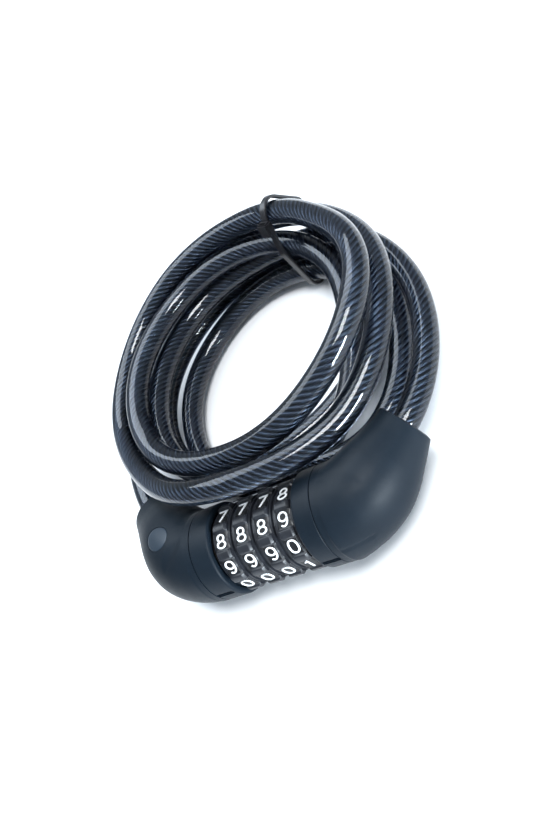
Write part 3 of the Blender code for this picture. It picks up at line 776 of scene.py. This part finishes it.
BADGE_HALF = (4.9, 3.9)
BADGE_DEPTH = 0.50         # of the badge's underside below the cover's surface
POCKET_DEPTH = 0.45
POCKET_SHARE = 1.03        # size of the pocket beside the badge
RAY_START = 8.0            # how far above the cover the rays that find it start
# Share of the oval and height over the cover, from the badge's middle to its lower edge
BADGE_SECTION = [
    (0.0, 0.10), (0.2, 0.10), (0.4, 0.09), (0.6, 0.08), (0.8, 0.05),
    (0.93, 0.02), (0.975, -0.03), (0.99, -0.12), (0.99, -BADGE_DEPTH),
]


def badge_matrix():
    """The middle of the badge's pocket floor: X along the oval, Z out of the cover."""
    out = Vector((-0.10, 0.06, 0.99)).normalized()
    along = Vector((0.93, -0.36, 0.0))
    along = (along - out * along.dot(out)).normalized()
    turn = Matrix((along, out.cross(along), out)).transposed().to_4x4()
    return Matrix.Translation(lock_point(-36.7, 4.6, 13.0)) @ turn


def oval_row(matrix, share, height_at, sides=64):
    """Points round a share of the badge's oval, at the heights that height_at gives."""
    row = []
    for step in range(sides):
        angle = math.tau * step / sides
        x = share * BADGE_HALF[0] * math.cos(angle)
        y = share * BADGE_HALF[1] * math.sin(angle)
        row.append(matrix @ (Vector((x, y, height_at(x, y))) * MM))
    return row


def make_badge(shell):
    """A blank oval let into the top of the body cover and curved like it."""
    matrix = badge_matrix()
    tree = BVHTree.FromObject(shell, bpy.context.evaluated_depsgraph_get())
    down = matrix.to_3x3() @ Vector((0.0, 0.0, -1.0))

    def surface(x, y):
        start = matrix @ (Vector((x, y, RAY_START)) * MM)
        return RAY_START - tree.ray_cast(start, down)[3] / MM

    rows = []
    for share, lift in BADGE_SECTION:
        rows.append(oval_row(matrix, share, lambda x, y: surface(x, y) + lift))
    rows.append(oval_row(matrix, 0.0, lambda x, y: surface(x, y) - BADGE_DEPTH))
    bm = bmesh.new()
    skin(bm, rows)
    bmesh.ops.remove_doubles(bm, verts=bm.verts, dist=0.000001)
    badge = link("badge_blank", bm, 40)
    bm = bmesh.new()
    floor = oval_row(matrix, POCKET_SHARE, lambda x, y: surface(x, y) - POCKET_DEPTH)
    top = oval_row(matrix, POCKET_SHARE, lambda x, y: RAY_START / 2)
    rings = skin(bm, [floor, top])
    bm.faces.new(list(reversed(rings[0])))
    bm.faces.new(rings[1])
    carve(shell, link("badge_pocket_cutter", bm))
    shell.data.set_sharp_from_angle(angle=math.radians(40))
    return dress(badge, "badge", "lock_body", "body_badge")


# ---------------------------------------------------------------- the dials
PANEL_HALF = 10.6          # degrees from a panel's middle to its edge
LABEL_HALF = 10.8          # degrees from a panel's middle to the end of its black print
PANEL_SINK = 0.12          # of a panel under the label's radius
FLANK_START = 11.6         # degrees from a panel's middle to the foot of a rib's flank
FLANK_STEP = 0.45          # degrees between the points of a flank
FLANK_RISE = 0.16          # from each of its points to the next
FLANK_DEPTH = 0.62         # of a flank's foot under the ribs
RIB_HALF = 4.6             # degrees from a rib's middle to its edge
RIB_CROWN = 0.10
RIB_EDGE = 0.06            # depth of a rib's edges under the dial's radius
RIM_WIDTH = 0.7            # of the plain rims at both sides of a dial


def ring_outline():
    """One dial seen along its axis, as (angle, radius): panels between finger ribs."""
    points = []
    for digit in range(DIGITS):
        middle = FIRST_DIGIT_ANGLE + DIGIT_STEP * digit
        for step in range(-6, 7):
            offset = PANEL_HALF * step / 6
            points.append((middle + offset, LABEL_R / math.cos(math.radians(offset)) - PANEL_SINK))
        flank = [(FLANK_START + FLANK_STEP * step, DIAL_R - FLANK_DEPTH + FLANK_RISE * step)
                 for step in range(4)]
        for offset, radius in flank:
            points.append((middle + offset, radius))
        for step in range(-4, 5):
            offset = RIB_HALF * step / 4
            crown = RIB_CROWN * (1.0 - (offset / RIB_HALF) ** 2)
            points.append((middle + DIGIT_STEP / 2 + offset, DIAL_R - RIB_EDGE + crown))
        for offset, radius in reversed(flank):
            points.append((middle + DIGIT_STEP - offset, radius))
    return points


def make_dial(index):
    """The ribbed ring, closed at its sides by stepped shoulders."""
    x = (index - (DIAL_COUNT - 1) / 2) * DIAL_PITCH
    outline = ring_outline()
    half = DIAL_WIDTH / 2
    edge = half - RIM_WIDTH
    # Place across the dial, depth under the outline, or the radius of a plain rim
    steps = [(-half, 0.0, SHOULDER_R - 0.35), (-half + 0.12, 0.0, SHOULDER_R),
             (-edge, 0.0, SHOULDER_R), (-edge, 0.70, None), (-edge + 0.30, 0.28, None),
             (-edge + 0.62, 0.0, None), (edge - 0.62, 0.0, None), (edge - 0.30, 0.28, None),
             (edge, 0.70, None), (edge, 0.0, SHOULDER_R), (half - 0.12, 0.0, SHOULDER_R),
             (half, 0.0, SHOULDER_R - 0.35), (half, 0.0, DIAL_BORE_R), (-half, 0.0, DIAL_BORE_R)]
    rows = []
    for offset, inset, radius in steps:
        row = []
        for angle, reach in outline:
            turn = math.radians(angle)
            size = radius if radius is not None else max(reach - inset, SHOULDER_R + 0.15)
            row.append(lock_point(x + offset, size * math.cos(turn), size * math.sin(turn)))
        rows.append(row)
    bm = bmesh.new()
    skin(bm, rows, closed_rows=True)
    name = "dial_%d" % (index + 1)
    obj = link("ribbed_" + name, bm, 32)
    dress(obj, "number_dials", "number_" + name, name)
    obj.data.materials.append(LOOKS["labels"])
    for face in obj.data.polygons:
        place = face.center / MM - LOCK
        reach = math.hypot(place.y, place.z)
        turn = math.degrees(math.atan2(place.z, place.y)) - FIRST_DIGIT_ANGLE
        from_panel = abs((turn + DIGIT_STEP / 2) % DIGIT_STEP - DIGIT_STEP / 2)
        if from_panel < LABEL_HALF and reach > LABEL_R - 0.25:
            face.material_index = 1
    make_numbers(index, x)


def bow(middle, reach, start, end, power=1.0, steps=18):
    """Points on a rounded oval between two angles in degrees."""
    points = []
    for step in range(steps + 1):
        angle = math.radians(start + (end - start) * step / steps)
        x, y = math.cos(angle), math.sin(angle)
        x = math.copysign(abs(x) ** power, x)
        y = math.copysign(abs(y) ** power, y)
        points.append((middle[0] + reach[0] * x, middle[1] + reach[1] * y))
    return points


# Each numeral as single strokes, in units of its own height; STROKE is half their width
STROKE = 0.056
NUMERALS = {
    "0": [bow((0, 0), (0.29, 0.438), 0, 360, 0.84, 36)],
    "1": [[(-0.17, 0.25), (0.02, 0.438), (0.02, -0.438)]],
    "2": [bow((0, 0.19), (0.26, 0.248), 165, -35) + [(-0.27, -0.438), (0.29, -0.438)]],
    "3": [bow((0, 0.205), (0.24, 0.233), 150, -90) + bow((0, -0.215), (0.28, 0.223), 90, -150)],
    "4": [[(0.30, -0.16), (-0.32, -0.16), (0.12, 0.438), (0.12, -0.438)]],
    "5": [[(0.25, 0.438), (-0.20, 0.438), (-0.24, 0.03)] + bow((0, -0.16), (0.28, 0.278), 130, -145)],
    "6": [bow((0, -0.165), (0.275, 0.273), 0, 360, 1.0, 30), bow((0, 0), (0.275, 0.438), 202, 55)],
    "7": [[(-0.28, 0.438), (0.28, 0.438), (-0.07, -0.438)]],
    "8": [bow((0, 0.225), (0.225, 0.213), 0, 360, 1.0, 30),
          bow((0, -0.213), (0.28, 0.225), 0, 360, 1.0, 30)],
    "9": [bow((0, 0.165), (0.275, 0.273), 0, 360, 1.0, 30), bow((0, 0), (0.275, 0.438), 22, -125)],
}
NUMBER_HEIGHT = 4.45
NUMBER_WIDTH = 5.0
INK_THICKNESS = 0.35
MITRE_LIMIT = 0.45         # keeps a stroke from growing wide at a sharp corner
# Section of a stroke, in halves of its width and of the ink's thickness
STROKE_SECTION = ((-1.0, -1.0), (-1.0, 0.5), (-0.75, 1.0), (0.75, 1.0), (1.0, 0.5), (1.0, -1.0))


def add_stroke(bm, line, matrix, closed):
    """A flat bar with rounded edges that follows a line; half of it is sunk in the panel."""
    count = len(line)
    rows = []
    for index, point in enumerate(line):
        before = line[(index - 1) % count] if closed else line[max(index - 1, 0)]
        after = line[(index + 1) % count] if closed else line[min(index + 1, count - 1)]
        back = (Vector(point) - Vector(before)).normalized()
        ahead = (Vector(after) - Vector(point)).normalized()
        along = (back + ahead).normalized()
        sharp = max(along.dot(ahead if ahead.length else back), MITRE_LIMIT)
        across = Vector((-along.y, along.x)) * STROKE / sharp
        row = []
        for side, height in STROKE_SECTION:
            place = Vector(point) + across * side
            row.append(matrix @ Vector((place.x, place.y, height * INK_THICKNESS / 2)))
        rows.append(row)
    rings = skin(bm, rows, closed_rows=closed)
    if not closed:
        bm.faces.new(rings[0])
        bm.faces.new(list(reversed(rings[-1])))


def make_numbers(index, x):
    """Ten numerals on one dial; the last dial stands one number on."""
    bm = bmesh.new()
    first = 8 if index == DIAL_COUNT - 1 else 7
    for step in range(DIGITS):
        around = math.radians(FIRST_DIGIT_ANGLE + DIGIT_STEP * step)
        out = Vector((0.0, math.cos(around), math.sin(around)))
        up = Vector((0.0, math.sin(around), -math.cos(around)))
        turn = Matrix((Vector((1.0, 0.0, 0.0)), up, out)).transposed().to_4x4()
        size = Matrix.Diagonal((NUMBER_WIDTH * MM, NUMBER_HEIGHT * MM, MM, 1.0))
        place = Matrix.Translation(lock_point(x, *(out * (LABEL_R - 0.05)).yz)) @ turn @ size
        for line in NUMERALS[str((first + step) % DIGITS)]:
            closed = len(line) > 20 and (Vector(line[0]) - Vector(line[-1])).length < 0.001
            add_stroke(bm, line[:-1] if closed else line, place, closed)
    obj = link("numbers_%d" % (index + 1), bm, 40)
    dress(obj, "numbers", "number_dial_%d" % (index + 1))


# ---------------------------------------------------------------- the tie
STRAP_POINTS = 240
STRAP_EDGE = 0.25          # rounding of the strap's edges
TOOTH_HEIGHT = 0.10


def tie_matrix():
    """The plane of the tie: X out of the bundle's middle, Z up, in mm."""
    turn = Matrix.Rotation(math.radians(TIE_ANGLE), 4, "Z")
    return Matrix.Translation(BUNDLE * MM) @ turn @ Matrix.Scale(MM, 4)


def tie_outline(route, cut):
    """The line of the strap's inner face round the strands, in radius and height."""
    around = []
    reach = CABLE_D / 2 + TIE_SLACK
    for start, end in zip(route[:cut], route[1:cut + 1]):
        radius, height, angle_a = polar_of(start)
        angle_b = polar_of(end)[2]
        if angle_b <= TIE_ANGLE < angle_a:
            for step in range(64):
                angle = math.tau * step / 64
                around.append(Vector((radius + reach * math.cos(angle),
                                      height + reach * math.sin(angle))))
    return even([around[index] for index in convex_hull_2d(around)], STRAP_POINTS)


def even(outline, count):
    """The same closed outline with evenly spaced points."""
    closed = outline + [outline[0]]
    lengths = [(b - a).length for a, b in zip(closed, closed[1:])]
    spacing = sum(lengths) / count
    points = []
    travelled = 0.0
    for a, b, length in zip(closed, closed[1:], lengths):
        while len(points) * spacing <= travelled + length and len(points) < count:
            part = (len(points) * spacing - travelled) / length
            points.append(a.lerp(b, part))
        travelled += length
    return points


def make_tie(route, cut):
    """The strap round the strands, with small teeth on its inner face, and its head."""
    outline = tie_outline(route, cut)
    matrix = tie_matrix()
    half = TIE_WIDTH / 2
    flat = half - STRAP_EDGE
    section = [(-flat, 0.0), (-half, 0.2), (-half, TIE_THICKNESS - STRAP_EDGE),
               (-flat, TIE_THICKNESS), (flat, TIE_THICKNESS), (half, TIE_THICKNESS - STRAP_EDGE),
               (half, 0.2), (flat, 0.0)]
    rows = []
    count = len(outline)
    for index, point in enumerate(outline):
        along = (outline[(index + 1) % count] - outline[index - 1]).normalized()
        out = Vector((along.y, -along.x))
        tooth = TOOTH_HEIGHT * (index % 2)
        row = []
        for across, height in section:
            lift = height + (tooth if height == 0.0 else 0.0)
            place = point + out * lift
            row.append(matrix @ Vector((place.x, across, place.y)))
        rows.append(row)
    bm = bmesh.new()
    skin(bm, rows, closed_rows=True)
    strap = link("tie_strap", bm, 40)
    dress(strap, "tie", "lock_body", "cable_tie")
    make_tie_head(outline, matrix)


HEAD_RUN = Vector((-0.40, -0.92))   # the way the strap runs where its head sits
HEAD_SLOT = (1.3, 2.9, 9.0)
SLOT_OFF_MIDDLE = 0.5


def make_tie_head(outline, matrix):
    """The tie's locking head on the strap, at the upper inside of the bundle."""
    count = len(outline)
    ahead = count // 40

    def upper_inside(index):
        along = outline[(index + ahead) % count] - outline[index - ahead]
        return along.normalized().dot(HEAD_RUN)

    best = max(range(count), key=upper_inside)
    along = (outline[(best + ahead) % count] - outline[best - ahead]).normalized()
    out = Vector((along.y, 0.0, -along.x))
    run = Vector((along.x, 0.0, along.y))
    turn = Matrix((out, run.cross(out), run)).transposed().to_4x4()
    lift = out * (TIE_HEAD[0] / 2 + TIE_THICKNESS / 3)
    middle = Vector((outline[best].x, 0.0, outline[best].y)) + lift
    place = matrix @ Matrix.Translation(middle) @ turn @ Matrix.Scale(1 / MM, 4)
    head = rounded_box("tie_head", TIE_HEAD, 0.5, 4)
    head.matrix_world = place
    slot = rounded_box("tie_head_slot", HEAD_SLOT, 0.1, 4)
    slot.matrix_world = place @ Matrix.Translation(Vector((SLOT_OFF_MIDDLE, 0.0, 0.0)) * MM)
    carve(head, slot)
    shade(head)
    dress(head, "tie", "lock_body")


# ---------------------------------------------------------------- stage and light
def make_floor():
    """The white surface that the lock lies on."""
    bm = bmesh.new()
    bmesh.ops.create_grid(bm, x_segments=1, y_segments=1, size=6.0)
    floor = link("floor", bm)
    floor.data.materials.append(floor_look())


def area_light(name, place, target, size, power, colour):
    data = bpy.data.lights.new(name, "AREA")
    data.shape = "RECTANGLE"
    data.size, data.size_y = size
    data.energy = power
    data.color = colour
    obj = bpy.data.objects.new(name, data)
    direction = Vector(target) - Vector(place)
    turn = direction.to_track_quat("-Z", "Y").to_matrix().to_4x4()
    obj.matrix_world = Matrix.Translation(place) @ turn
    bpy.context.scene.collection.objects.link(obj)


def make_lights():
    world = bpy.data.worlds.new("studio")
    world.use_nodes = True
    background = world.node_tree.nodes["Background"]
    background.inputs["Color"].default_value = (0.80, 0.90, 1.0, 1.0)
    background.inputs["Strength"].default_value = 0.45
    bpy.context.scene.world = world
    middle = (0.0, 0.03, 0.01)
    area_light("key_softbox", (0.38, -0.10, 0.85), middle, (0.30, 0.36), 8.0, (0.95, 0.98, 1.0))
    area_light("top_fill", (-0.25, 0.45, 0.80), middle, (0.90, 0.70), 12.0, (0.82, 0.91, 1.0))
    area_light("right_softbox", (0.60, -0.48, 0.09), middle, (0.26, 0.16), 12.0, (0.80, 0.91, 1.0))
    bpy.context.scene.view_settings.view_transform = "Standard"


# ---------------------------------------------------------------- build
make_camera()
cable_route, cable_cut = make_cable()
body_shell = make_cover("body_shell", BODY_OUTLINE, -1, body_dent, "lock_body")
make_cover("plug_shell", PLUG_OUTLINE, 1, plug_dent, "plug")
make_collar("body_ring", -1, BODY_FACE, 7.3, 1.3, "lock_body")
make_collar("plug_ring", 1, PLUG_FACE, 4.8, 0.3, "plug")
make_badge(body_shell)
for dial_index in range(DIAL_COUNT):
    make_dial(dial_index)
make_tie(cable_route, cable_cut)
for subpart in frame["record"]["subparts"]:
    node = frame["nodes"][subpart["node"]]
    node.data.materials.clear()
    node.data.materials.append(LOOKS[subpart["material_slot"]])
make_floor()
make_lights()
